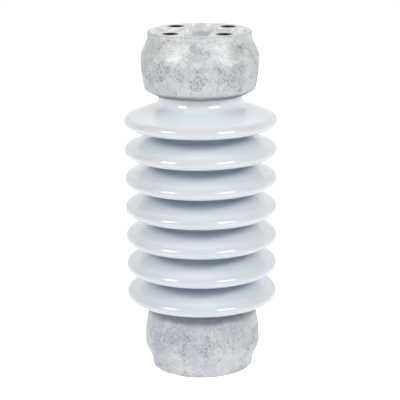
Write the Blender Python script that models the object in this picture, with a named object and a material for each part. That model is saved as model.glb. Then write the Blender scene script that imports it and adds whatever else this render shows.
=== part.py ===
"""Station post insulator: a shedded porcelain body cemented into two galvanised iron caps.

Metres, +Z up.  The origin is the centre of the lower cap's mounting face, and the
insulator stands along +Z.  Both caps are one casting, and the upper one is turned over.
"""

import math

import bmesh
import bpy
from mathutils import Matrix, Vector

# ---------------------------------------------------------------- driving dimensions
HEIGHT = 0.3556               # mounting face to mounting face, 14 in
GAP = 0.0003                  # kept between pieces that touch
SEGMENTS = 32                 # facets round every turned piece
ROUND_STEPS = 3               # facets along each rounding of an outline
MERGE_DISTANCE = 0.00005      # closes the turned pieces where they meet the axis

CORE_RADIUS = 0.0429          # porcelain between the sheds
SHED_COUNT = 7
SHED_PITCH = 0.0306
SHED_TOP_Z = 0.2631           # height of the uppermost shed's tip
SHED_RADIUS = 0.0790
TIP_UPPER_RADIUS = 0.0067     # rounding of the tip, upper half
TIP_LOWER_RADIUS = 0.0049     # rounding of the tip, lower half
TOP_SLOPE = math.radians(20.7)
UNDER_SLOPE = math.radians(8.0)
TOP_FILLET = 0.0100           # shed's upper surface into the core
UNDER_FILLET = 0.0040         # shed's underside into the core
UNDER_FILLET_STEPS = 2
END_CHAMFER = 0.0020          # on the porcelain's two buried ends

CAP_DEPTH = 0.0642            # mounting face to mouth
FACE_RADIUS = 0.0532          # straight boss round the mounting face
FACE_ROUND = 0.0012
BELLY_RADIUS = 0.0605
FLARE_START = 0.0045          # boss widens to the belly between these two heights
FLARE_END = 0.0260
TAPER_START = 0.0300          # belly narrows to the shoulder from here
TAPER_POWER = 1.6
SHOULDER_RADIUS = 0.0570
SHOULDER_Z = 0.0590
SIDE_STEPS = 11               # facets from the shoulder down to the boss
MOUTH_RADIUS = 0.0454         # inside the lip, which locks the cement in
LIP_LAND = 0.0012             # flat ring round the mouth
LIP_HEIGHT = 0.0028           # straight wall inside the lip
BORE_RADIUS = 0.0490
BORE_FILLET = 0.0030
BORE_FLOOR = 0.0220           # thickness of the cap's end wall
KEY_DEPTH = 0.0014            # cement keys: grooves cast in the bore
KEY_HEIGHT = 0.0080
KEY_CENTRES = (0.0340, 0.0480)

BOLT_CIRCLE = 0.0762          # 3 in
BOLT_COUNT = 4
TAP_RADIUS = 0.0054           # 1/2-13 UNC thread, minor radius
TAP_DEPTH = 0.0190
SINK_RADIUS = 0.0077          # countersink at each hole's mouth
SINK_DEPTH = 0.0019
HOLE_SIDES = 16
CUTTER_CLEARANCE = 0.0010     # how far the cutters stand out of the mounting face

CROSS_HALF_WIDTH = 0.0120     # cross-shaped relief between the four bolt pads
CROSS_REACH = 0.0480
CROSS_DEPTH = 0.0090
CROSS_FILLET = 0.0030

CUSHION_THICKNESS = 0.0030
BAND_THICKNESS = 0.0014       # grit fused to the porcelain
BAND_LOW_Z = 0.0290
BAND_HIGH_Z = 0.0602
COAT_THICKNESS = 0.0008       # bitumen on the bore
COAT_LOW_Z = 0.0260
COAT_HIGH_Z = 0.0568
CEMENT_TOP_Z = 0.0632

PORCELAIN_END_Z = BORE_FLOOR + CUSHION_THICKNESS + 2 * GAP


# ---------------------------------------------------------------- materials
def make_material(name, colour, roughness, metallic=0.0):
    """Principled material with one colour."""
    material = bpy.data.materials.new(name)
    material.use_nodes = True
    material.diffuse_color = (*colour, 1.0)
    shader = material.node_tree.nodes["Principled BSDF"]
    shader.inputs["Base Color"].default_value = (*colour, 1.0)
    shader.inputs["Roughness"].default_value = roughness
    shader.inputs["Metallic"].default_value = metallic
    return material


# ---------------------------------------------------------------- outlines, as (radius, z)
def arc(radius, z, arc_radius, start, end, steps):
    """Points on a circle in the profile plane, angles in radians from the +radius side."""
    angles = [start + (end - start) * step / steps for step in range(steps + 1)]
    return [(radius + arc_radius * math.cos(a), z + arc_radius * math.sin(a)) for a in angles]


def shed_outline(tip_z):
    """One shed, from the core above it, round its tip, to the core below it."""
    quarter = math.pi / 2
    upper_centre = SHED_RADIUS - TIP_UPPER_RADIUS
    lower_centre = SHED_RADIUS - TIP_LOWER_RADIUS
    upper_tip = arc(upper_centre, tip_z, TIP_UPPER_RADIUS, quarter - TOP_SLOPE, 0.0, ROUND_STEPS)
    under_end = -quarter - UNDER_SLOPE
    lower_tip = arc(lower_centre, tip_z, TIP_LOWER_RADIUS, 0.0, under_end, ROUND_STEPS)

    slope_radius, slope_z = upper_tip[0]
    fillet_radius = CORE_RADIUS + TOP_FILLET
    fillet_z = slope_z + (slope_radius - fillet_radius) * math.tan(TOP_SLOPE)
    fillet_z += TOP_FILLET / math.cos(TOP_SLOPE)
    top_end = 3 * quarter - TOP_SLOPE
    top_fillet = arc(fillet_radius, fillet_z, TOP_FILLET, math.pi, top_end, ROUND_STEPS)

    under_radius, under_z = lower_tip[-1]
    fillet_radius = CORE_RADIUS + UNDER_FILLET
    fillet_z = under_z + (under_radius - fillet_radius) * math.tan(UNDER_SLOPE)
    fillet_z -= UNDER_FILLET / math.cos(UNDER_SLOPE)
    under_start = quarter - UNDER_SLOPE
    under_fillet = arc(
        fillet_radius, fillet_z, UNDER_FILLET, under_start, math.pi, UNDER_FILLET_STEPS)
    return top_fillet + upper_tip + lower_tip[1:] + under_fillet


def porcelain_outline():
    """Whole body: solid core with its sheds, and a small chamfer on each end."""
    top = HEIGHT - PORCELAIN_END_Z
    bottom = PORCELAIN_END_Z
    outline = [(0.0, top), (CORE_RADIUS - END_CHAMFER, top), (CORE_RADIUS, top - END_CHAMFER)]
    for shed in range(SHED_COUNT):
        outline += shed_outline(SHED_TOP_Z - shed * SHED_PITCH)
    outline += [(CORE_RADIUS, bottom + END_CHAMFER), (CORE_RADIUS - END_CHAMFER, bottom)]
    return outline + [(0.0, bottom)]


def cap_radius(z):
    """Outer radius of the cap between its boss and its shoulder."""
    if z <= TAPER_START:
        t = min(max((z - FLARE_START) / (FLARE_END - FLARE_START), 0.0), 1.0)
        return FACE_RADIUS + (BELLY_RADIUS - FACE_RADIUS) * t * t * (3 - 2 * t)
    t = (z - TAPER_START) / (SHOULDER_Z - TAPER_START)
    return BELLY_RADIUS - (BELLY_RADIUS - SHOULDER_RADIUS) * t ** TAPER_POWER


def bore_wall(inset, low, high):
    """The cap's bore with its cement keys, bottom to top, moved inwards by inset.

    Each key is a groove with flanks at 45 degrees.
    """
    radius = BORE_RADIUS - inset
    wall = [(radius, low)]
    for centre in KEY_CENTRES:
        bottom = centre - KEY_HEIGHT / 2
        top = centre + KEY_HEIGHT / 2
        wall += [(radius, bottom), (radius + KEY_DEPTH, bottom + KEY_DEPTH)]
        wall += [(radius + KEY_DEPTH, top - KEY_DEPTH), (radius, top)]
    return wall + [(radius, high)]


def cap_outline():
    """Cup: floor, bore, lip and mouth, then the outside down to the mounting face."""
    floor = [(0.0, BORE_FLOOR), (BORE_RADIUS - BORE_FILLET, BORE_FLOOR)]
    lip_z = CAP_DEPTH - LIP_HEIGHT
    undercut = BORE_RADIUS - MOUTH_RADIUS
    bore = bore_wall(0.0, BORE_FLOOR + BORE_FILLET, lip_z - undercut)
    bore += [(MOUTH_RADIUS, lip_z), (MOUTH_RADIUS, CAP_DEPTH)]
    outside = [(MOUTH_RADIUS + LIP_LAND, CAP_DEPTH)]
    for step in range(SIDE_STEPS + 1):
        z = SHOULDER_Z + (FLARE_START - SHOULDER_Z) * step / SIDE_STEPS
        outside.append((cap_radius(z), z))
    outside += [(FACE_RADIUS, FACE_ROUND), (FACE_RADIUS - FACE_ROUND, 0.0), (0.0, 0.0)]
    return floor + bore + outside


def cement_outline():
    """Cement between the cap and the sanded porcelain, as a closed loop."""
    inner = CORE_RADIUS + GAP
    under_end = inner - END_CHAMFER
    band_outer = inner + BAND_THICKNESS + GAP
    inset = 2 * GAP + COAT_THICKNESS
    outer = BORE_RADIUS - inset
    low = BORE_FLOOR + GAP
    corner = BORE_FILLET - 3 * GAP
    mouth = MOUTH_RADIUS - GAP
    neck_z = CAP_DEPTH - LIP_HEIGHT - GAP
    loop = [(under_end, low), (outer - corner, low)]
    loop += bore_wall(inset, low + corner, neck_z - (outer - mouth))
    loop += [(mouth, neck_z), (mouth, CEMENT_TOP_Z), (inner, CEMENT_TOP_Z)]
    loop += [(inner, BAND_HIGH_Z + GAP), (band_outer, BAND_HIGH_Z + GAP)]
    loop += [(band_outer, BAND_LOW_Z - GAP), (inner, BAND_LOW_Z - GAP)]
    loop += [(inner, PORCELAIN_END_Z - GAP + END_CHAMFER), (under_end, PORCELAIN_END_Z - GAP)]
    return loop[::-1]


def coat_outline():
    """Bitumen coat on the bore, as a closed loop."""
    outside = bore_wall(GAP, COAT_LOW_Z, COAT_HIGH_Z)
    inside = bore_wall(GAP + COAT_THICKNESS, COAT_LOW_Z, COAT_HIGH_Z)
    return outside[::-1] + inside


def band_outline():
    """Grit band on the porcelain, as a closed loop."""
    inner = CORE_RADIUS + GAP
    outer = inner + BAND_THICKNESS
    return [(outer, BAND_HIGH_Z), (outer, BAND_LOW_Z), (inner, BAND_LOW_Z), (inner, BAND_HIGH_Z)]


def cushion_outline():
    """Cork disc between the porcelain's end and the cap's floor."""
    low = BORE_FLOOR + GAP
    high = low + CUSHION_THICKNESS
    radius = CORE_RADIUS - END_CHAMFER
    return [(0.0, high), (radius, high), (radius, low), (0.0, low)]


# ---------------------------------------------------------------- objects
def add_object(name, mesh, parent, material=None):
    """Object in the scene under its parent, with its material if it has one."""
    piece = bpy.data.objects.new(name, mesh)
    bpy.context.scene.collection.objects.link(piece)
    piece.parent = parent
    if material:
        mesh.materials.append(material)
    return piece


def turned(name, outline, parent, material, closed=False):
    """Piece turned round Z from an outline that runs down its outer side."""
    points = [(radius, 0.0, z) for radius, z in outline]
    edges = [(i, i + 1) for i in range(len(points) - 1)]
    if closed:
        edges.append((len(points) - 1, 0))
    mesh = bpy.data.meshes.new(name)
    mesh.from_pydata(points, edges, [])
    piece = add_object(name, mesh, parent, material)
    screw = piece.modifiers.new("Turn", "SCREW")
    screw.steps = SEGMENTS
    screw.render_steps = SEGMENTS
    screw.use_merge_vertices = True
    screw.merge_threshold = MERGE_DISTANCE
    screw.use_smooth_shade = True
    return piece


def prism(bm, outline, low, high):
    """Closed upright solid over an (x, y) outline that runs anticlockwise."""
    bottom = [bm.verts.new((x, y, low)) for x, y in outline]
    top = [bm.verts.new((x, y, high)) for x, y in outline]
    bm.faces.new(bottom[::-1])
    bm.faces.new(top)
    for i, corner in enumerate(bottom):
        j = (i + 1) % len(bottom)
        bm.faces.new((corner, bottom[j], top[j], top[i]))


def cross_outline():
    """Four arms with round outer ends and filleted inner corners, anticlockwise."""
    half = CROSS_HALF_WIDTH
    side = math.asin(half / CROSS_REACH)
    centre = half + CROSS_FILLET
    quadrant = []
    for step in range(ROUND_STEPS + 1):
        angle = -side + 2 * side * step / ROUND_STEPS
        quadrant.append((CROSS_REACH * math.cos(angle), CROSS_REACH * math.sin(angle)))
    for step in range(ROUND_STEPS + 1):
        angle = 1.5 * math.pi - math.pi / 2 * step / ROUND_STEPS
        x = centre + CROSS_FILLET * math.cos(angle)
        y = centre + CROSS_FILLET * math.sin(angle)
        quadrant.append((x, y))
    outline = []
    for turn in range(4):
        rotation = Matrix.Rotation(turn * math.pi / 2, 2)
        outline += [tuple(rotation @ Vector(point)) for point in quadrant]
    return outline


def tapped_hole(bm, x, y):
    """Solid of one countersunk blind hole, opening through z = 0."""
    spread = CUTTER_CLEARANCE * (SINK_RADIUS - TAP_RADIUS) / SINK_DEPTH
    rings = [(SINK_RADIUS + spread, -CUTTER_CLEARANCE), (TAP_RADIUS, SINK_DEPTH)]
    rings.append((TAP_RADIUS, TAP_DEPTH))
    levels = []
    for radius, z in rings:
        ring = []
        for side in range(HOLE_SIDES):
            angle = 2 * math.pi * side / HOLE_SIDES
            ring.append(bm.verts.new((x + radius * math.cos(angle), y + radius * math.sin(angle), z)))
        levels.append(ring)
    bm.faces.new(levels[0][::-1])
    bm.faces.new(levels[-1])
    for low, high in zip(levels, levels[1:]):
        for i, corner in enumerate(low):
            j = (i + 1) % HOLE_SIDES
            bm.faces.new((corner, low[j], high[j], high[i]))


def face_cutter(name, parent):
    """Cross-shaped relief and four tapped holes, cut into the mounting face."""
    bm = bmesh.new()
    prism(bm, cross_outline(), -CUTTER_CLEARANCE, CROSS_DEPTH)
    for bolt in range(BOLT_COUNT):
        angle = 2 * math.pi * (bolt + 0.5) / BOLT_COUNT
        tapped_hole(bm, BOLT_CIRCLE / 2 * math.cos(angle), BOLT_CIRCLE / 2 * math.sin(angle))
    mesh = bpy.data.meshes.new(name)
    bm.to_mesh(mesh)
    bm.free()
    cutter = add_object(name, mesh, parent)
    cutter.hide_render = True
    cutter.display_type = "WIRE"
    return cutter


def build_fitting(side, materials):
    """One cap with what fixes it to the porcelain, mounting face at the empty's origin."""
    fitting = bpy.data.objects.new(side + "_fitting", None)
    bpy.context.scene.collection.objects.link(fitting)
    cap = turned(side + "_cap", cap_outline(), fitting, materials["iron"])
    relief = cap.modifiers.new("Relief", "BOOLEAN")
    relief.operation = "DIFFERENCE"
    relief.solver = "EXACT"
    relief.object = face_cutter(side + "_cap_cutter", fitting)
    turned(side + "_cement", cement_outline(), fitting, materials["cement"], closed=True)
    turned(side + "_bitumen_coat", coat_outline(), fitting, materials["bitumen"], closed=True)
    turned(side + "_grit_band", band_outline(), fitting, materials["grit"], closed=True)
    turned(side + "_cork_cushion", cushion_outline(), fitting, materials["cork"])
    return fitting


def main():
    for old in list(bpy.data.objects):
        bpy.data.objects.remove(old, do_unlink=True)
    materials = {
        "porcelain": make_material("glazed_porcelain", (0.47, 0.51, 0.56), 0.06),
        "iron": make_material("galvanised_iron", (0.43, 0.45, 0.46), 0.50, 0.40),
        "cement": make_material("portland_cement", (0.42, 0.41, 0.39), 0.90),
        "bitumen": make_material("bitumen", (0.02, 0.02, 0.02), 0.60),
        "grit": make_material("porcelain_grit", (0.70, 0.69, 0.66), 0.95),
        "cork": make_material("cork", (0.45, 0.30, 0.17), 0.90),
    }
    stand = bpy.data.objects.new("insulator", None)
    bpy.context.scene.collection.objects.link(stand)
    turned("porcelain_body", porcelain_outline(), stand, materials["porcelain"])
    lower = build_fitting("lower", materials)
    lower.parent = stand
    upper = build_fitting("upper", materials)
    upper.parent = stand
    upper.location.z = HEIGHT
    upper.rotation_euler.x = math.pi


main()
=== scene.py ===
"""Looks of the station post insulator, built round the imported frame.

Every piece is modelled here again at full detail, over the CAD solid of the same name: a
glazed porcelain body, two galvanised castings with real threads, and what fixes them
together.  Metres throughout; lengths are written in millimetres and scaled by MM.
"""

import math

import bmesh
import bpy
from mathutils import Matrix, Vector, noise


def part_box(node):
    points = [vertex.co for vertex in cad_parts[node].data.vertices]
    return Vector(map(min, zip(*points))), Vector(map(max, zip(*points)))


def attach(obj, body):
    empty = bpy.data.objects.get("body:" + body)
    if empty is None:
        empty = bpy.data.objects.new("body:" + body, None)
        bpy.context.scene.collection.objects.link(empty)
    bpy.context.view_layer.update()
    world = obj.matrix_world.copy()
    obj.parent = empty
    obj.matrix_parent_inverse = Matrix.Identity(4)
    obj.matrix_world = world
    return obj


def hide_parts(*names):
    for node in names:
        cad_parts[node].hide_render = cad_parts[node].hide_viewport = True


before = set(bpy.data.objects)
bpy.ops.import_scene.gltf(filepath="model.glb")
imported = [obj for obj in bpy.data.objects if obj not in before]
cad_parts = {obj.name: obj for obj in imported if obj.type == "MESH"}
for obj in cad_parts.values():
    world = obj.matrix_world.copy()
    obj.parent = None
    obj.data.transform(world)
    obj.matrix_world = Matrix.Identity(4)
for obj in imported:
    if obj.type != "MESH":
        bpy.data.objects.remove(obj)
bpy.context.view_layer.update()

MM = 0.001
BODY = "root"

# ---------------------------------------------------------------- sizes from the frame
cap_low, cap_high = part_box("lower_cap")
top_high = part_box("upper_cap")[1]
shed_low, shed_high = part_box("porcelain_body")
HEIGHT = top_high[2] - cap_low[2]
CAP_DEPTH = cap_high[2] - cap_low[2]
BELLY_RADIUS = (cap_high[0] - cap_low[0]) / 2
SHED_RADIUS = (shed_high[0] - shed_low[0]) / 2
BODY_LOW = shed_low[2]
BODY_HIGH = shed_high[2]

# ---------------------------------------------------------------- sizes of the design
CORE_RADIUS = 42.9 * MM
SHED_COUNT = 7
SHED_PITCH = 30.6 * MM
SHED_TOP_Z = 263.1 * MM
TIP_UPPER_RADIUS = 6.7 * MM
TIP_LOWER_RADIUS = 4.9 * MM
TOP_SLOPE = math.radians(20.7)
UNDER_SLOPE = math.radians(8.0)
TOP_FILLET = 10.0 * MM
UNDER_FILLET = 4.0 * MM
END_CHAMFER = 2.0 * MM

FACE_RADIUS = 53.2 * MM
FACE_ROUND = 1.2 * MM
FLARE_START = 4.5 * MM
FLARE_END = 26.0 * MM
TAPER_START = 30.0 * MM
TAPER_POWER = 1.6
SHOULDER_RADIUS = 57.0 * MM
SHOULDER_Z = 59.0 * MM
SHOULDER_ROUND = 2.6 * MM
MOUTH_RADIUS = 45.4 * MM
LIP_LAND = 1.2 * MM
LIP_HEIGHT = 2.8 * MM
BORE_RADIUS = 49.0 * MM
BORE_FILLET = 3.0 * MM
BORE_FLOOR = 22.0 * MM
KEY_DEPTH = 1.4 * MM
KEY_HEIGHT = 8.0 * MM
KEY_CENTRES = (34.0 * MM, 48.0 * MM)

BOLT_CIRCLE = 76.2 * MM
BOLT_COUNT = 4
THREAD_PITCH = 25.4 * MM / 13
THREAD_MAJOR = 6.35 * MM
THREAD_MINOR = 5.40 * MM
TAP_DEPTH = 19.0 * MM
SINK_RADIUS = 7.7 * MM
SINK_DEPTH = 1.9 * MM

CROSS_HALF_WIDTH = 12.0 * MM
CROSS_REACH = 48.0 * MM
CROSS_DEPTH = 9.0 * MM
CROSS_FILLET = 3.0 * MM

GAP = 0.3 * MM
COAT_THICKNESS = 0.8 * MM
COAT_LOW_Z = 26.0 * MM
COAT_HIGH_Z = 56.8 * MM
BAND_THICKNESS = 1.4 * MM
BAND_LOW_Z = 29.0 * MM
BAND_HIGH_Z = 60.2 * MM
CEMENT_TOP_Z = 63.2 * MM
CUSHION_THICKNESS = 3.0 * MM

PORCELAIN_SEGMENTS = 224
CAST_SEGMENTS = 256
INNER_SEGMENTS = 128
THREAD_SIDES = 36

# A casting's materials, in the order of its slots.
ZINC, PAD, THREAD, RELIEF = range(4)


# ---------------------------------------------------------------- shader helpers
class Shader:
    """A material's node tree with short calls for the nodes this scene needs."""

    def __init__(self, name):
        self.material = bpy.data.materials.new(name)
        self.material.use_nodes = True
        self.tree = self.material.node_tree
        self.principled = self.tree.nodes["Principled BSDF"]
        self.place = self.tree.nodes.new("ShaderNodeTexCoord").outputs["Object"]

    def node(self, kind, settings=None, inputs=None):
        """New node with properties set, and inputs set or linked."""
        made = self.tree.nodes.new("ShaderNode" + kind)
        for key, value in (settings or {}).items():
            setattr(made, key, value)
        for key, value in (inputs or {}).items():
            if isinstance(value, bpy.types.NodeSocket):
                self.tree.links.new(value, made.inputs[key])
            else:
                made.inputs[key].default_value = value
        return made

    def stretch(self, scale):
        """Object coordinates scaled along each axis."""
        mapping = self.node("Mapping", inputs={"Vector": self.place, "Scale": scale})
        return mapping.outputs["Vector"]

    def noise(self, scale, detail=4.0, roughness=0.55, distortion=0.0, vector=None):
        """Fractal noise, 0 to 1, scale in features a metre."""
        inputs = {"Vector": vector or self.place, "Scale": scale, "Detail": detail}
        inputs.update({"Roughness": roughness, "Distortion": distortion})
        return self.node("TexNoise", inputs=inputs).outputs["Fac"]

    def cells(self, scale, feature="F1", output="Distance", vector=None):
        """Voronoi cells, scale in cells a metre."""
        inputs = {"Vector": vector or self.place, "Scale": scale, "Randomness": 1.0}
        return self.node("TexVoronoi", {"feature": feature}, inputs).outputs[output]

    def ramp(self, value, low, high, out_low=0.0, out_high=1.0):
        """Value from low..high to out_low..out_high, smooth and clamped."""
        inputs = {"Value": value, "From Min": low, "From Max": high}
        inputs.update({"To Min": out_low, "To Max": out_high})
        settings = {"interpolation_type": "SMOOTHSTEP"}
        return self.node("MapRange", settings, inputs).outputs["Result"]

    def math(self, operation, a, b=0.0, c=0.0):
        """One arithmetic step."""
        made = self.node("Math", {"operation": operation}, {0: a, 1: b, 2: c})
        return made.outputs["Value"]

    def vector(self, operation, a, b=(0.0, 0.0, 0.0), output="Vector"):
        """One vector step; the output is Value where the step gives a length."""
        return self.node("VectorMath", {"operation": operation}, {0: a, 1: b}).outputs[output]

    def mix(self, factor, a, b):
        """Mix of two colours, a where the factor is 0 and b where it is 1."""
        made = self.node("Mix", {"data_type": "RGBA", "blend_type": "MIX"}, {"Factor": factor})
        for name, value in (("A", a), ("B", b)):
            socket = next(s for s in made.inputs if s.name == name and s.type == "RGBA")
            if isinstance(value, bpy.types.NodeSocket):
                self.tree.links.new(value, socket)
            else:
                socket.default_value = (*value, 1.0)
        return next(s for s in made.outputs if s.type == "RGBA")

    def radius(self):
        """Distance from the insulator's axis."""
        flat = self.vector("MULTIPLY", self.place, (1.0, 1.0, 0.0))
        return self.vector("LENGTH", flat, output="Value")

    def height(self):
        """Height above the lower mounting face."""
        return self.node("SeparateXYZ", inputs={"Vector": self.place}).outputs["Z"]

    def from_face(self):
        """Distance along the axis from the nearer mounting face."""
        off_middle = self.math("ABSOLUTE", self.math("SUBTRACT", self.height(), HEIGHT / 2))
        return self.math("SUBTRACT", HEIGHT / 2, off_middle)

    def bump(self, height, distance, strength=1.0, normal=None):
        """Bump normal from a height."""
        inputs = {"Height": height, "Distance": distance, "Strength": strength}
        if normal:
            inputs["Normal"] = normal
        return self.node("Bump", inputs=inputs).outputs["Normal"]

    def set(self, **values):
        """Sets or links the Principled shader's inputs; underscores stand for spaces."""
        for key, value in values.items():
            socket = self.principled.inputs[key.replace("_", " ")]
            if isinstance(value, bpy.types.NodeSocket):
                self.tree.links.new(value, socket)
            else:
                socket.default_value = value


# ---------------------------------------------------------------- materials
def shade(colour, factor):
    """The colour made darker, or lighter where the factor is over 1."""
    return tuple(factor * channel for channel in colour)


def glaze_material():
    """Pale blue-grey feldspathic glaze with a few dark specks.

    It carries painted shade: greyer on the rims, and darker and bluer between the sheds.
    """
    s = Shader("blue_grey_glaze")
    cloud = s.noise(14.0, 3.0)
    base = s.mix(s.ramp(cloud, 0.35, 0.65), (0.515, 0.55, 0.587), (0.545, 0.576, 0.612))
    # Painted shade: the rims turn greyer and darker, standing in for the shade that falls on them.
    rim = s.ramp(s.radius(), SHED_RADIUS - 7.0 * MM, SHED_RADIUS - 0.5 * MM, 0.0, 0.85)
    base = s.mix(rim, base, (0.40, 0.42, 0.445))
    # Painted shade: darker, bluer glaze near the core between the sheds, where each shed shades the one
    # below.
    root = s.ramp(s.radius(), CORE_RADIUS + 6 * MM, CORE_RADIUS + 21 * MM, 1.0, 0.0)
    between = s.ramp(s.height(), SHED_TOP_Z, SHED_TOP_Z + 12 * MM, 1.0, 0.0)
    painted_gap_shade = s.math("MULTIPLY", s.math("MULTIPLY", root, between), 0.8)
    base = s.mix(painted_gap_shade, base, (0.37, 0.445, 0.53))
    speck = s.ramp(s.cells(210.0), 0.055, 0.095, 1.0, 0.0)
    sparse = s.ramp(s.noise(160.0, 1.0), 0.63, 0.66)
    specks = s.math("MULTIPLY", s.math("MULTIPLY", speck, sparse), 0.55)
    base = s.mix(specks, base, (0.22, 0.20, 0.18))
    smear = s.noise(30.0, 5.0, 0.6, 0.4, s.stretch((1.0, 1.0, 3.0)))
    s.set(Base_Color=base, Roughness=s.ramp(smear, 0.40, 0.72, 0.025, 0.06))
    s.set(IOR=1.52, Coat_Weight=0.25, Coat_Roughness=0.02, Coat_IOR=1.5)
    ripple = s.bump(s.noise(120.0, 2.0), 0.06 * MM, 0.25)
    s.set(Normal=s.bump(s.noise(520.0, 2.0), 0.012 * MM, 0.2, ripple))
    return s.material


def zinc_material(name, seed, light, dark, pit_tone, painted_highlight, painted_bevel_shade, belt, stains):
    """Hot-dip galvanised casting: soft grey clouds, fine grain, faint runs and dark pits.

    Pits crowd along the belt, a pair of heights, and round each stain, given as its
    azimuth in degrees, its height and its radius. A warm, pale painted highlight lies near
    the face, and painted shade darkens the bevel at the mouth, each as strong as its argument.
    """
    s = Shader(name)
    offset = s.node("Mapping", inputs={"Vector": s.place, "Location": seed}).outputs["Vector"]
    runs = s.node("Mapping", inputs={"Vector": offset, "Scale": (1.0, 1.0, 0.25)}).outputs["Vector"]
    cloud = s.noise(38.0, 5.0, 0.6, 0.4, offset)
    base = s.mix(s.ramp(cloud, 0.36, 0.64), dark, light)
    from_face = s.from_face()
    pale = shade(light, 1.18)
    # Painted highlight: a warm, paler band near the mounting face, where light catches the flare.
    blotch = s.ramp(s.noise(52.0, 4.0, 0.6, 0.5, offset), 0.40, 0.60, 0.35, 1.0)
    band = s.math("MULTIPLY", s.ramp(from_face, 25 * MM, 31 * MM, painted_highlight, 0.0), blotch)
    warm_highlight = tuple(tint * channel for tint, channel in zip((1.34, 1.31, 1.25), light))
    base = s.mix(band, base, warm_highlight)
    mottle = s.ramp(s.noise(210.0, 6.0, 0.65, 0.3, offset), 0.44, 0.64, 0.0, 0.30)
    base = s.mix(mottle, base, shade(dark, 0.72))
    streak = s.noise(120.0, 5.0, 0.6, 0.6, runs)
    base = s.mix(s.ramp(streak, 0.50, 0.72, 0.0, 0.45), base, pale)
    grain = s.noise(560.0, 4.0, 0.65, 0.0, offset)
    base = s.mix(s.ramp(grain, 0.36, 0.62, 0.38, 0.0), base, shade(dark, 0.5))
    # Painted shade: the bevel at the mouth is darkened, standing in for the shade under the cap.
    lip = s.ramp(from_face, SHOULDER_Z - 0.6 * MM, SHOULDER_Z + 1.0 * MM, 0.0, painted_bevel_shade)
    base = s.mix(lip, base, shade(dark, 0.35))

    height = s.height()
    low, high = belt
    soft = 6 * MM
    above = s.ramp(height, low - soft, low)
    inside = s.math("MULTIPLY", above, s.ramp(height, high, high + soft, 1.0, 0.0))
    patch = s.math("MULTIPLY_ADD", inside, 0.08, s.noise(60.0, 3.0, 0.6, 0.6, offset))
    for azimuth, z, radius in stains:
        a = math.radians(azimuth)
        centre = (BELLY_RADIUS * math.sin(a), -BELLY_RADIUS * math.cos(a), z)
        away = s.vector("DISTANCE", s.place, centre, "Value")
        patch = s.math("MULTIPLY_ADD", s.ramp(away, 0.3 * radius, radius, 1.0, 0.0), 0.13, patch)
    crowd = s.ramp(patch, 0.53, 0.62)
    lumps = s.cells(760.0, vector=offset)
    size = s.ramp(s.noise(330.0, 3.0, 0.6, 0.0, offset), 0.38, 0.62, 0.08, 0.50)
    pit = s.ramp(s.math("SUBTRACT", size, lumps), -0.12, 0.08)
    rare = s.ramp(s.noise(110.0, 2.0, 0.5, 0.0, offset), 0.56, 0.62)
    lone = s.math("MULTIPLY", s.ramp(lumps, 0.16, 0.32, 1.0, 0.0), rare)
    pits = s.math("MAXIMUM", s.math("MULTIPLY", pit, crowd), s.math("MULTIPLY", lone, 0.6))
    tarnished = tuple((a + b) / 2 for a, b in zip(dark, pit_tone))
    base = s.mix(s.ramp(patch, 0.50, 0.68, 0.0, 0.22), base, tarnished)
    base = s.mix(s.math("MULTIPLY", pits, 0.72), base, pit_tone)
    s.set(Base_Color=base, Metallic=s.ramp(cloud, 0.3, 0.7, 0.30, 0.45))
    s.set(Roughness=s.ramp(grain, 0.35, 0.65, 0.42, 0.64), IOR=1.6)
    skin = s.bump(s.noise(170.0, 5.0, 0.6, 0.2, offset), 0.45 * MM, 0.5)
    rough = s.bump(grain, 0.12 * MM, 0.55, skin)
    s.set(Normal=s.bump(s.math("SUBTRACT", 1.0, pits), 0.25 * MM, 0.7, rough))
    return s.material


def pad_material(name, dark, light):
    """Brighter, mottled zinc with faint tool marks, for the pads and the relief.

    It carries painted shade: a dark ring round each tapped hole, and a darker floor in the relief.
    """
    s = Shader(name)
    blotch = s.noise(130.0, 5.0, 0.66, 0.5)
    base = s.mix(s.ramp(blotch, 0.38, 0.60), dark, light)
    rings = {"wave_type": "RINGS", "rings_direction": "Z"}
    marks = s.node("TexWave", rings, {"Vector": s.place, "Scale": 180.0, "Distortion": 1.2, "Detail": 2.0})
    dirt = s.ramp(s.noise(330.0, 4.0, 0.7), 0.55, 0.68)
    base = s.mix(s.math("MULTIPLY", dirt, 0.4), base, (0.24, 0.25, 0.26))
    # Painted shade: the relief's floor is darkened where its walls shade it.
    painted_floor_shade = s.ramp(s.from_face(), CROSS_DEPTH - 0.7 * MM, CROSS_DEPTH - 0.05 * MM, 0.0, 0.28)
    base = s.mix(painted_floor_shade, base, (0.26, 0.27, 0.28))
    # Painted shade: a dark ring round each countersink, widening the shade at the holes' mouths.
    bolt = BOLT_CIRCLE / 2 * math.sqrt(0.5)
    folded = s.vector("MULTIPLY", s.vector("ABSOLUTE", s.place), (1.0, 1.0, 0.0))
    away = s.vector("DISTANCE", folded, (bolt, bolt, 0.0), "Value")
    painted_hole_shade = s.ramp(away, SINK_RADIUS + 0.3 * MM, SINK_RADIUS + 1.7 * MM, 0.9, 0.0)
    base = s.mix(painted_hole_shade, base, (0.09, 0.09, 0.095))
    s.set(Base_Color=base, Metallic=0.3, Roughness=s.ramp(blotch, 0.3, 0.7, 0.36, 0.54))
    ring = s.bump(marks.outputs["Fac"], 0.02 * MM, 0.4)
    s.set(Normal=s.bump(s.noise(420.0, 4.0), 0.10 * MM, 0.5, ring))
    return s.material


def thread_material():
    """Tapped after dipping: bare, oiled iron with darker stains; its near-black tone is painted shade
    inside the holes.
    """
    s = Shader("tapped_iron_painted_shade")
    stain = s.noise(500.0, 4.0, 0.6)
    base = s.mix(s.ramp(stain, 0.4, 0.7), (0.050, 0.046, 0.048), (0.12, 0.105, 0.10))
    s.set(Base_Color=base, Metallic=0.75, Roughness=s.ramp(stain, 0.3, 0.7, 0.30, 0.48))
    s.set(Normal=s.bump(stain, 0.05 * MM, 0.3))
    return s.material


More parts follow.
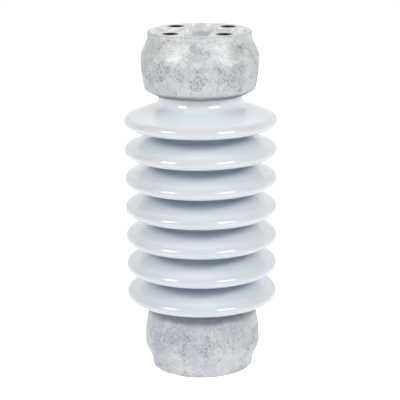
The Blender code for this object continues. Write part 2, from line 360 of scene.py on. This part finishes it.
def cement_material():
    """Cured neat cement with pores and sand."""
    s = Shader("neat_cement")
    cloud = s.noise(60.0, 6.0, 0.65)
    base = s.mix(s.ramp(cloud, 0.35, 0.65), (0.33, 0.32, 0.30), (0.46, 0.45, 0.42))
    grain = s.noise(900.0, 3.0, 0.7)
    base = s.mix(s.ramp(grain, 0.45, 0.7, 0.0, 0.4), base, (0.24, 0.235, 0.225))
    pore = s.ramp(s.cells(320.0), 0.12, 0.26)
    s.set(Base_Color=base, Roughness=s.ramp(grain, 0.3, 0.7, 0.82, 0.95))
    rough = s.bump(grain, 0.2 * MM, 0.6)
    s.set(Normal=s.bump(pore, 0.4 * MM, 0.6, rough))
    return s.material


def bitumen_material():
    """Brushed bituminous coat."""
    s = Shader("brushed_bitumen")
    brush = s.noise(120.0, 5.0, 0.6, 0.5, s.stretch((1.0, 1.0, 6.0)))
    base = s.mix(s.ramp(brush, 0.3, 0.7), (0.012, 0.011, 0.010), (0.035, 0.032, 0.030))
    s.set(Base_Color=base, Roughness=s.ramp(brush, 0.3, 0.7, 0.35, 0.6))
    s.set(Normal=s.bump(brush, 0.15 * MM, 0.6))
    return s.material


def grit_material():
    """Crushed porcelain grit fused in glaze."""
    s = Shader("fused_grit")
    tint = s.cells(650.0, output="Color")
    grey = s.node("RGBToBW", inputs={"Color": tint}).outputs["Val"]
    base = s.mix(s.ramp(grey, 0.2, 0.8), (0.50, 0.48, 0.44), (0.78, 0.76, 0.72))
    lump = s.cells(650.0)
    s.set(Base_Color=base, Roughness=s.ramp(grey, 0.2, 0.8, 0.55, 0.9))
    s.set(Normal=s.bump(lump, 0.5 * MM, 0.8))
    return s.material


def cork_material():
    """Granulated cork sheet."""
    s = Shader("granulated_cork")
    tint = s.cells(480.0, output="Color")
    grey = s.node("RGBToBW", inputs={"Color": tint}).outputs["Val"]
    base = s.mix(s.ramp(grey, 0.15, 0.85), (0.24, 0.135, 0.065), (0.56, 0.37, 0.20))
    seam = s.cells(480.0, feature="DISTANCE_TO_EDGE")
    base = s.mix(s.ramp(seam, 0.0, 0.09, 0.7, 0.0), base, (0.11, 0.06, 0.03))
    s.set(Base_Color=base, Roughness=s.ramp(grey, 0.2, 0.8, 0.78, 0.95))
    s.set(Normal=s.bump(seam, 0.4 * MM, 0.7))
    return s.material


def floor_material():
    """Plain pale table that glows softly, and is as white as the backdrop where it is seen."""
    s = Shader("pale_floor")
    tone = s.noise(3.0, 2.0)
    s.set(Base_Color=s.mix(tone, (0.93, 0.93, 0.93), (0.95, 0.95, 0.95)), Roughness=0.75)
    seen = s.node("LightPath").outputs["Is Camera Ray"]
    glow = s.math("MULTIPLY_ADD", seen, 0.5, 0.42)
    s.set(Emission_Color=(1.0, 1.0, 1.0, 1.0), Emission_Strength=glow)
    return s.material


# ---------------------------------------------------------------- outlines, as (radius, z)
def arc(radius, z, arc_radius, start, end, steps):
    """Points on a circle in the profile plane, angles from the +radius side."""
    angles = [start + (end - start) * step / steps for step in range(steps + 1)]
    return [(radius + arc_radius * math.cos(a), z + arc_radius * math.sin(a)) for a in angles]


def fill(outline, spacing):
    """The outline with long runs divided so that no step is longer than spacing."""
    dense = [outline[0]]
    for a, b in zip(outline, outline[1:]):
        count = max(1, math.ceil(math.hypot(b[0] - a[0], b[1] - a[1]) / spacing))
        for step in range(1, count + 1):
            t = step / count
            dense.append((a[0] + (b[0] - a[0]) * t, a[1] + (b[1] - a[1]) * t))
    return dense


def shed_outline(tip_z):
    """One shed, from the core above it, round its tip, to the core below it."""
    quarter = math.pi / 2
    upper_tip = arc(SHED_RADIUS - TIP_UPPER_RADIUS, tip_z, TIP_UPPER_RADIUS, quarter - TOP_SLOPE, 0.0, 9)
    lower_tip = arc(SHED_RADIUS - TIP_LOWER_RADIUS, tip_z, TIP_LOWER_RADIUS, 0.0, -quarter - UNDER_SLOPE, 9)
    slope_radius, slope_z = upper_tip[0]
    radius = CORE_RADIUS + TOP_FILLET
    z = slope_z + (slope_radius - radius) * math.tan(TOP_SLOPE) + TOP_FILLET / math.cos(TOP_SLOPE)
    top_fillet = arc(radius, z, TOP_FILLET, math.pi, 3 * quarter - TOP_SLOPE, 9)
    under_radius, under_z = lower_tip[-1]
    radius = CORE_RADIUS + UNDER_FILLET
    z = under_z + (under_radius - radius) * math.tan(UNDER_SLOPE) - UNDER_FILLET / math.cos(UNDER_SLOPE)
    under_fillet = arc(radius, z, UNDER_FILLET, quarter - UNDER_SLOPE, math.pi, 6)
    return top_fillet + upper_tip + lower_tip[1:] + under_fillet


def porcelain_outline():
    """Whole body from its top end to its bottom end."""
    outline = [(0.0, BODY_HIGH), (CORE_RADIUS - END_CHAMFER, BODY_HIGH)]
    outline.append((CORE_RADIUS, BODY_HIGH - END_CHAMFER))
    for shed in range(SHED_COUNT):
        outline += shed_outline(SHED_TOP_Z - shed * SHED_PITCH)
    outline += [(CORE_RADIUS, BODY_LOW + END_CHAMFER), (CORE_RADIUS - END_CHAMFER, BODY_LOW)]
    return fill(outline + [(0.0, BODY_LOW)], 4.0 * MM)


def cap_radius(z):
    """Outer radius of the cap between its boss and its shoulder."""
    if z <= TAPER_START:
        t = min(max((z - FLARE_START) / (FLARE_END - FLARE_START), 0.0), 1.0)
        return FACE_RADIUS + (BELLY_RADIUS - FACE_RADIUS) * t * t * (3 - 2 * t)
    t = (z - TAPER_START) / (SHOULDER_Z - TAPER_START)
    return BELLY_RADIUS - (BELLY_RADIUS - SHOULDER_RADIUS) * t ** TAPER_POWER


def bore_wall(inset, low, high):
    """The cap's bore with its cement keys, bottom to top, moved inwards by inset."""
    radius = BORE_RADIUS - inset
    wall = [(radius, low)]
    for centre in KEY_CENTRES:
        bottom = centre - KEY_HEIGHT / 2
        top = centre + KEY_HEIGHT / 2
        wall += [(radius, bottom), (radius + KEY_DEPTH, bottom + KEY_DEPTH)]
        wall += [(radius + KEY_DEPTH, top - KEY_DEPTH), (radius, top)]
    return wall + [(radius, high)]


def cap_outline():
    """Cup: floor, bore, lip and mouth, then the outside down to the mounting face."""
    lip_z = CAP_DEPTH - LIP_HEIGHT
    undercut = BORE_RADIUS - MOUTH_RADIUS
    inside = [(0.0, BORE_FLOOR), (BORE_RADIUS - BORE_FILLET, BORE_FLOOR)]
    inside += bore_wall(0.0, BORE_FLOOR + BORE_FILLET, lip_z - undercut)
    inside += [(MOUTH_RADIUS, lip_z), (MOUTH_RADIUS, CAP_DEPTH)]
    land = MOUTH_RADIUS + LIP_LAND
    corner = Vector((SHOULDER_RADIUS, SHOULDER_Z))
    high = SHOULDER_Z - SHOULDER_ROUND
    above = corner + (Vector((land, CAP_DEPTH)) - corner).normalized() * SHOULDER_ROUND
    below = Vector((cap_radius(high), high))
    bevel = fill([(land, CAP_DEPTH), tuple(above)], 1.5 * MM)
    for t in (0.2, 0.4, 0.6, 0.8):
        bevel.append(tuple(above * (1 - t) ** 2 + corner * 2 * t * (1 - t) + below * t ** 2))
    steps = 44
    low = FLARE_START * 0.6
    side = []
    for step in range(steps + 1):
        z = high + (low - high) * step / steps
        side.append((cap_radius(z), z))
    rim = arc(FACE_RADIUS - FACE_ROUND, FACE_ROUND, FACE_ROUND, 0.0, -math.pi / 2, 5)
    face = fill([rim[-1], (0.0, 0.0)], 9.0 * MM)
    return inside + bevel + side + rim[:-1] + face


def cement_outline():
    """Cement between the cap and the sanded porcelain, as a closed loop."""
    inner = CORE_RADIUS + GAP
    under_end = inner - END_CHAMFER
    end_z = BORE_FLOOR + CUSHION_THICKNESS + GAP
    band_outer = inner + BAND_THICKNESS + GAP
    inset = 2 * GAP + COAT_THICKNESS
    outer = BORE_RADIUS - inset
    low = BORE_FLOOR + GAP
    corner = BORE_FILLET - 3 * GAP
    mouth = MOUTH_RADIUS - GAP
    neck_z = CAP_DEPTH - LIP_HEIGHT - GAP
    loop = [(under_end, low), (outer - corner, low)]
    loop += bore_wall(inset, low + corner, neck_z - (outer - mouth))
    loop += [(mouth, neck_z), (mouth, CEMENT_TOP_Z - 0.2 * MM)]
    loop += [((mouth + inner) / 2, CEMENT_TOP_Z), (inner, CEMENT_TOP_Z - 0.1 * MM)]
    loop += [(inner, BAND_HIGH_Z + GAP), (band_outer, BAND_HIGH_Z + GAP)]
    loop += [(band_outer, BAND_LOW_Z - GAP), (inner, BAND_LOW_Z - GAP)]
    loop += [(inner, end_z + END_CHAMFER), (under_end, end_z)]
    return loop[::-1]


def coat_outline():
    """Bitumen coat on the bore, as a closed loop."""
    outside = bore_wall(GAP, COAT_LOW_Z, COAT_HIGH_Z)
    inside = bore_wall(GAP + COAT_THICKNESS, COAT_LOW_Z, COAT_HIGH_Z)
    return outside[::-1] + inside


def band_outline():
    """Grit band on the porcelain, as a closed loop with chamfered ends."""
    inner = CORE_RADIUS + GAP
    outer = inner + BAND_THICKNESS
    soft = 0.6 * MM
    loop = [(outer - soft, BAND_HIGH_Z), (outer, BAND_HIGH_Z - soft)]
    loop += [(outer, BAND_LOW_Z + soft), (outer - soft, BAND_LOW_Z)]
    loop += [(inner, BAND_LOW_Z), (inner, BAND_HIGH_Z)]
    return fill(loop, 1.2 * MM)


def cushion_outline():
    """Cork disc with eased edges."""
    low = BORE_FLOOR + GAP
    high = low + CUSHION_THICKNESS
    radius = CORE_RADIUS - END_CHAMFER
    ease = 0.4 * MM
    outline = [(0.0, high), (radius - ease, high), (radius, high - ease), (radius, low + ease)]
    return fill(outline + [(radius - ease, low), (0.0, low)], 5.0 * MM)


# ---------------------------------------------------------------- meshes
def turned_mesh(outline, segments, closed=False):
    """Mesh turned round Z; a closed outline makes a ring, an open one starts and ends on Z."""
    bm = bmesh.new()
    rings = []
    for radius, z in outline:
        if radius == 0.0:
            rings.append([bm.verts.new((0.0, 0.0, z))] * segments)
            continue
        ring = []
        for step in range(segments):
            angle = 2 * math.pi * step / segments
            ring.append(bm.verts.new((radius * math.cos(angle), radius * math.sin(angle), z)))
        rings.append(ring)
    pairs = list(zip(rings, rings[1:]))
    if closed:
        pairs.append((rings[-1], rings[0]))
    for upper, lower in pairs:
        for i in range(segments):
            j = (i + 1) % segments
            corners = dict.fromkeys((upper[i], lower[i], lower[j], upper[j]))
            bm.faces.new(corners)
    return bm


def add_piece(name, bm, materials, node, sharp=35.0):
    """Finished piece: shaded, with its materials, riding on the body for its CAD node."""
    mesh = bpy.data.meshes.new(name)
    bm.to_mesh(mesh)
    bm.free()
    mesh.shade_smooth()
    mesh.set_sharp_from_angle(angle=math.radians(sharp))
    for material in materials:
        mesh.materials.append(material)
    piece = bpy.data.objects.new(name, mesh)
    bpy.context.scene.collection.objects.link(piece)
    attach(piece, BODY)
    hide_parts(node)
    return piece


def flip_to_top(bm):
    """Turns a fitting modelled on the lower face over onto the upper one."""
    turn = Matrix.Translation((0.0, 0.0, HEIGHT)) @ Matrix.Rotation(math.pi, 4, "X")
    bmesh.ops.transform(bm, matrix=turn, verts=bm.verts)


def porcelain(material):
    """Fired body: sheds sag and wander by a few tenths of a millimetre."""
    bm = turned_mesh(porcelain_outline(), PORCELAIN_SEGMENTS)
    for vertex in bm.verts:
        radius = math.hypot(vertex.co.x, vertex.co.y)
        out = max(0.0, (radius - CORE_RADIUS) / (SHED_RADIUS - CORE_RADIUS))
        place = Vector((vertex.co.x * 9.0, vertex.co.y * 9.0, vertex.co.z * 14.0))
        sag = noise.noise(place) * 0.35 * MM * out
        shrink = 1.0 - 0.0022 * out * (0.5 + 0.5 * noise.noise(place + Vector((7.0, 3.0, 5.0))))
        vertex.co.x *= shrink
        vertex.co.y *= shrink
        vertex.co.z += sag
    return add_piece("glazed_porcelain_body", bm, [material], "porcelain_body")


def cross_ring(grow, steps):
    """Outline of the cross-shaped relief, anticlockwise, moved outwards by grow."""
    half = CROSS_HALF_WIDTH + grow
    reach = CROSS_REACH + grow
    fillet = max(CROSS_FILLET - grow, 0.4 * MM)
    centre = half + fillet
    side = math.asin(half / reach)
    quadrant = []
    for step in range(steps + 1):
        angle = -side + 2 * side * step / steps
        quadrant.append((reach * math.cos(angle), reach * math.sin(angle)))
    for step in range(steps + 1):
        angle = 1.5 * math.pi - math.pi / 2 * step / steps
        quadrant.append((centre + fillet * math.cos(angle), centre + fillet * math.sin(angle)))
    ring = []
    for turn in range(4):
        rotation = Matrix.Rotation(turn * math.pi / 2, 2)
        ring += [tuple(rotation @ Vector(point)) for point in quadrant]
    return ring


def loft(bm, rings):
    """Closed solid through rings of equal count, given as lists of (x, y, z), low to high."""
    levels = [[bm.verts.new(point) for point in ring] for ring in rings]
    bm.faces.new(levels[0][::-1])
    bm.faces.new(levels[-1])
    for low, high in zip(levels, levels[1:]):
        for i, corner in enumerate(low):
            j = (i + 1) % len(low)
            bm.faces.new((corner, low[j], high[j], high[i]))


def relief_cutter():
    """Cross-shaped relief with eased edges, straight walls and a round fillet at its floor."""
    floor_round = 2.2 * MM
    edge_round = 0.7 * MM
    edge_steps = 4
    floor_steps = 5
    ring_steps = 8
    levels = [(-edge_round, 1.6 * edge_round)]
    for step in range(edge_steps + 1):
        angle = math.pi / 2 * step / edge_steps
        levels.append((edge_round * (1 - math.cos(angle)), edge_round * (1 - math.sin(angle))))
    for step in range(floor_steps + 1):
        angle = math.pi / 2 * step / floor_steps
        depth = CROSS_DEPTH - floor_round * (1 - math.sin(angle))
        levels.append((depth, -floor_round * (1 - math.cos(angle))))
    bm = bmesh.new()
    loft(bm, [[(x, y, z) for x, y in cross_ring(grow, ring_steps)] for z, grow in levels])
    return bm


def thread_radius(z, angle):
    """Radius of the tapped hole's wall: a thread of about 60 degrees, below a countersink.

    The thread runs out just above the hole's floor.
    """
    phase = (z / THREAD_PITCH - angle / (2 * math.pi)) % 1.0
    ridge = min(max(abs(2 * phase - 1) * 1.6 - 0.4, 0.0), 1.0)
    wall = THREAD_MAJOR - (THREAD_MAJOR - THREAD_MINOR) * ridge
    run_out = 1.5 * MM
    fade = min(max((TAP_DEPTH - run_out - z) / run_out, 0.0), 1.0)
    wall = THREAD_MINOR + (wall - THREAD_MINOR) * fade
    sink = SINK_RADIUS - z * (SINK_RADIUS - THREAD_MINOR) / SINK_DEPTH
    return max(wall, sink)


def bolt_centres():
    """Axes of the tapped holes, as (x, y)."""
    angles = [2 * math.pi * (bolt + 0.5) / BOLT_COUNT for bolt in range(BOLT_COUNT)]
    return [(BOLT_CIRCLE / 2 * math.cos(a), BOLT_CIRCLE / 2 * math.sin(a)) for a in angles]


def hole_cutter():
    """Solid shapes of all the tapped holes, opening through z = 0."""
    bm = bmesh.new()
    rows_a_pitch = 9
    rows_outside = 2
    rows = int(TAP_DEPTH / THREAD_PITCH * rows_a_pitch)
    for x, y in bolt_centres():
        rings = []
        for row in range(-rows_outside, rows + 1):
            z = TAP_DEPTH * row / rows
            ring = []
            for side in range(THREAD_SIDES):
                angle = 2 * math.pi * side / THREAD_SIDES
                radius = thread_radius(z, angle)
                ring.append((x + radius * math.cos(angle), y + radius * math.sin(angle), z))
            rings.append(ring)
        loft(bm, rings)
    return bm


def roughen_casting(bm, seed):
    """As-cast, dipped skin on the outside: slow waves with small lumps on them."""
    inward = 1.3 * MM
    ease_height = 4 * MM
    for vertex in bm.verts:
        radius = math.hypot(vertex.co.x, vertex.co.y)
        z = vertex.co.z
        wall = cap_radius(min(max(z, 0.0), SHOULDER_Z)) - inward
        outside = radius > wall or (z > SHOULDER_Z and radius > MOUTH_RADIUS + LIP_LAND + 0.1 * MM)
        if not outside or z < FACE_ROUND * 0.9:
            continue
        ease = min(max((z - FACE_ROUND) / ease_height, 0.0), 1.0)
        place = vertex.co + Vector((seed, 2 * seed, 3 * seed))
        slow = noise.noise(place * 28.0) * 0.22
        lumps = noise.fractal(place * 130.0, 0.9, 2.0, 3) * 0.10
        shift = (slow + lumps) * ease * MM
        vertex.co.x *= 1 + shift / radius
        vertex.co.y *= 1 + shift / radius


def cut(bm, cutter_bm):
    """The mesh with the cutter's solid taken out of it; both inputs are used up."""
    meshes = []
    objects = []
    for source in (bm, cutter_bm):
        mesh = bpy.data.meshes.new("work")
        source.to_mesh(mesh)
        source.free()
        item = bpy.data.objects.new("work", mesh)
        bpy.context.scene.collection.objects.link(item)
        meshes.append(mesh)
        objects.append(item)
    modifier = objects[0].modifiers.new("Cut", "BOOLEAN")
    modifier.operation = "DIFFERENCE"
    modifier.solver = "EXACT"
    modifier.object = objects[1]
    result = bmesh.new()
    result.from_object(objects[0], bpy.context.evaluated_depsgraph_get())
    for item in objects:
        bpy.data.objects.remove(item, do_unlink=True)
    for mesh in meshes:
        bpy.data.meshes.remove(mesh)
    return result


def cap_material(face, centres):
    """The slot of a casting's face, from where it lies; centres are the holes' axes."""
    middle = face.calc_center_median()
    near = min((middle.xy - centre).length for centre in centres)
    below_face = middle.z > 0.01 * MM
    slack = 0.1 * MM
    if below_face and middle.z < TAP_DEPTH + slack and near < SINK_RADIUS + 0.02 * MM:
        return THREAD
    if not below_face and abs(face.normal.z) > 0.99:
        return PAD
    if middle.z < CROSS_DEPTH + slack and middle.xy.length < CROSS_REACH + 1 * MM:
        return RELIEF
    return ZINC


def cap(side, materials, seed, drips):
    """One casting with its relief and its tapped holes.

    The drips are beads of zinc on the shoulder, as azimuth in degrees and radius.
    """
    bm = turned_mesh(cap_outline(), CAST_SEGMENTS)
    roughen_casting(bm, seed)
    bm = cut(bm, relief_cutter())
    bm = cut(bm, hole_cutter())
    centres = [Vector(centre) for centre in bolt_centres()]
    for face in bm.faces:
        face.material_index = cap_material(face, centres)
    for azimuth, radius in drips:
        a = math.radians(azimuth)
        x = SHOULDER_RADIUS * math.sin(a)
        y = SHOULDER_RADIUS * math.cos(a)
        place = Matrix.Translation((x, y, SHOULDER_Z))
        squash = Matrix.Diagonal((1.0, 1.0, 0.7, 1.0))
        bmesh.ops.create_icosphere(bm, subdivisions=3, radius=radius, matrix=place @ squash)
    if side == "upper":
        flip_to_top(bm)
    name = side + "_cap_casting"
    return add_piece(name, bm, materials, side + "_cap", sharp=28.0)


def ring_piece(name, side, outline, closed, material, node, lump=0.0):
    """Turned inner piece of a fitting, roughened along its own normals by lump."""
    bm = turned_mesh(outline, INNER_SEGMENTS, closed)
    if lump:
        bm.normal_update()
        moves = [(v, v.normal * lump * noise.noise(v.co * 420.0)) for v in bm.verts]
        for vertex, move in moves:
            vertex.co += move
    if side == "upper":
        flip_to_top(bm)
    return add_piece(f"{side}_{name}", bm, [material], f"{side}_{node}")


# ---------------------------------------------------------------- light, floor, camera
def softbox(name, azimuth, elevation, spread, radiance, glossy=True):
    """Softbox aimed at the insulator's middle; azimuth 0 is in front, along -Y.

    The spread is its width and height as angles seen from the insulator, in degrees.
    """
    distance = 2.4
    target = Vector((0.0, 0.0, HEIGHT / 2))
    a = math.radians(azimuth)
    e = math.radians(elevation)
    direction = Vector((math.sin(a) * math.cos(e), -math.cos(a) * math.cos(e), math.sin(e)))
    data = bpy.data.lights.new(name, "AREA")
    data.shape = "RECTANGLE"
    data.size, data.size_y = (2 * distance * math.tan(math.radians(angle / 2)) for angle in spread)
    data.energy = radiance * math.pi * data.size * data.size_y
    light = bpy.data.objects.new(name, data)
    bpy.context.scene.collection.objects.link(light)
    light.location = target + direction * distance
    light.rotation_euler = (-direction).to_track_quat("-Z", "Y").to_euler()
    light.visible_glossy = glossy


def backdrop():
    """World: white behind the part up to about 45 degrees, dark in front of it and overhead.

    Where the camera sees it directly, it is plain white all round.
    """
    world = bpy.data.worlds.new("studio")
    world.use_nodes = True
    bpy.context.scene.world = world
    tree = world.node_tree
    direction = tree.nodes.new("ShaderNodeTexCoord").outputs["Generated"]
    split = tree.nodes.new("ShaderNodeSeparateXYZ")
    tree.links.new(direction, split.inputs["Vector"])
    parts = []
    for axis, start, end, values in (("Y", 0.25, 0.55, (0.0, 1.05)), ("Z", 0.62, 0.80, (1.0, 0.0))):
        fade = tree.nodes.new("ShaderNodeMapRange")
        fade.interpolation_type = "SMOOTHSTEP"
        fade.inputs["From Min"].default_value = start
        fade.inputs["From Max"].default_value = end
        fade.inputs["To Min"].default_value, fade.inputs["To Max"].default_value = values
        tree.links.new(split.outputs[axis], fade.inputs["Value"])
        parts.append(fade.outputs["Result"])
    both = tree.nodes.new("ShaderNodeMath")
    both.operation = "MULTIPLY"
    strength = tree.nodes.new("ShaderNodeMath")
    strength.operation = "MAXIMUM"
    for socket, part in zip(both.inputs, parts):
        tree.links.new(part, socket)
    tree.links.new(both.outputs["Value"], strength.inputs[0])
    tree.links.new(tree.nodes.new("ShaderNodeLightPath").outputs["Is Camera Ray"], strength.inputs[1])
    background = tree.nodes["Background"]
    background.inputs["Color"].default_value = (1.0, 1.0, 1.0, 1.0)
    tree.links.new(strength.outputs["Value"], background.inputs["Strength"])


def studio():
    """White surroundings, two softboxes, fill in front, beside and overhead, a pale floor."""
    scene = bpy.context.scene
    backdrop()
    softbox("left_softbox", -47.5, 31.5, (20.0, 19.0), 11.4)
    softbox("right_softbox", 46.0, 33.0, (25.0, 20.0), 10.0)
    softbox("front_fill", 2.0, 27.0, (54.0, 16.0), 4.0, glossy=False)
    softbox("left_fill", -82.0, 24.0, (16.0, 10.0), 19.0, glossy=False)
    softbox("right_fill", 84.0, 26.0, (16.0, 10.0), 22.5, glossy=False)
    softbox("top_fill", 0.0, 78.0, (50.0, 50.0), 1.15, glossy=False)
    scene.view_settings.view_transform = "Standard"

    floor_radius = 2.5
    bm = bmesh.new()
    bmesh.ops.create_circle(bm, cap_ends=True, radius=floor_radius, segments=96)
    mesh = bpy.data.meshes.new("studio_floor")
    bm.to_mesh(mesh)
    bm.free()
    mesh.materials.append(floor_material())
    floor = bpy.data.objects.new("studio_floor", mesh)
    scene.collection.objects.link(floor)
    floor.location.z = -0.2 * MM


def camera():
    """Long lens, a little above the upper face and a few degrees off the bolt pattern."""
    distance = 1.4554
    height = 0.5698
    around = math.radians(5.53)
    down = math.radians(15.08)
    pan = math.radians(-0.048)
    roll = math.radians(-0.536)
    data = bpy.data.cameras.new("camera")
    data.sensor_width = 36.0
    data.lens = 130.0
    made = bpy.data.objects.new("camera", data)
    bpy.context.scene.collection.objects.link(made)
    look = Matrix.Rotation(math.pi / 2 - down, 4, "X") @ Matrix.Rotation(roll, 4, "Z")
    stand = Matrix.Rotation(around, 4, "Z") @ Matrix.Translation((0.0, -distance, height))
    made.matrix_world = stand @ Matrix.Rotation(-pan, 4, "Z") @ look
    bpy.context.scene.camera = made


# ---------------------------------------------------------------- the insulator
# Belts are pairs of heights.  Stains are (azimuth in degrees, height, radius), and drips are
# (azimuth in degrees, radius).
ZINC_LOOKS = {
    "upper": {
        "seed": (0.31, 0.12, 0.05),
        "light": (0.47, 0.49, 0.498),
        "dark": (0.375, 0.395, 0.413),
        "pit_tone": (0.10, 0.105, 0.11),
        # Strengths of the painted highlight near the face and of the painted shade on the bevel.
        "painted_highlight": 0.62,
        "painted_bevel_shade": 0.7,
        "belt": (HEIGHT - 42 * MM, HEIGHT - 30 * MM),
        "stains": [
            (-35.0, HEIGHT - 33 * MM, 13 * MM),
            (44.0, HEIGHT - 34 * MM, 15 * MM),
            (2.0, HEIGHT - 46 * MM, 9 * MM),
        ],
    },
    "lower": {
        "seed": (0.74, 0.45, 0.61),
        "light": (0.48, 0.497, 0.505),
        "dark": (0.36, 0.385, 0.42),
        "pit_tone": (0.11, 0.125, 0.165),
        # Strengths of the painted highlight near the face and of the painted shade on the bevel.
        "painted_highlight": 0.1,
        "painted_bevel_shade": 0.0,
        "belt": (30 * MM, 44 * MM),
        "stains": [
            (-21.0, 46 * MM, 12 * MM),
            (14.0, 44 * MM, 13 * MM),
            (40.0, 52 * MM, 9 * MM),
            (4.0, 18 * MM, 6 * MM),
        ],
    },
}
DRIPS = {
    "upper": [(6.5, 1.4 * MM), (3.0, 0.9 * MM), (200.0, 1.2 * MM)],
    "lower": [(140.0, 1.1 * MM)],
}


def main():
    """Builds every piece over its CAD node, then the studio round it."""
    porcelain(glaze_material())
    zinc = {side: zinc_material("zinc_" + side, **look) for side, look in ZINC_LOOKS.items()}
    pad = pad_material("zinc_pad", (0.47, 0.48, 0.485), (0.70, 0.705, 0.71))
    # The relief's zinc is a brighter copy of the pad zinc, as painted light on the relief's walls.
    relief = pad_material("zinc_relief_painted_light", (0.54, 0.555, 0.57), (0.72, 0.735, 0.75))
    thread = thread_material()
    cement = cement_material()
    bitumen = bitumen_material()
    grit = grit_material()
    cork = cork_material()
    for seed, side in enumerate(("lower", "upper")):
        cap(side, [zinc[side], pad, thread, relief], 0.37 + seed, DRIPS[side])
        ring_piece("cement_fill", side, cement_outline(), True, cement, "cement")
        ring_piece("bitumen_lining", side, coat_outline(), True, bitumen, "bitumen_coat")
        ring_piece("fused_grit_band", side, band_outline(), True, grit, "grit_band",
                   0.12 * MM)
        ring_piece("cork_disc", side, cushion_outline(), False, cork, "cork_cushion", 0.05 * MM)
    studio()
    camera()


main()
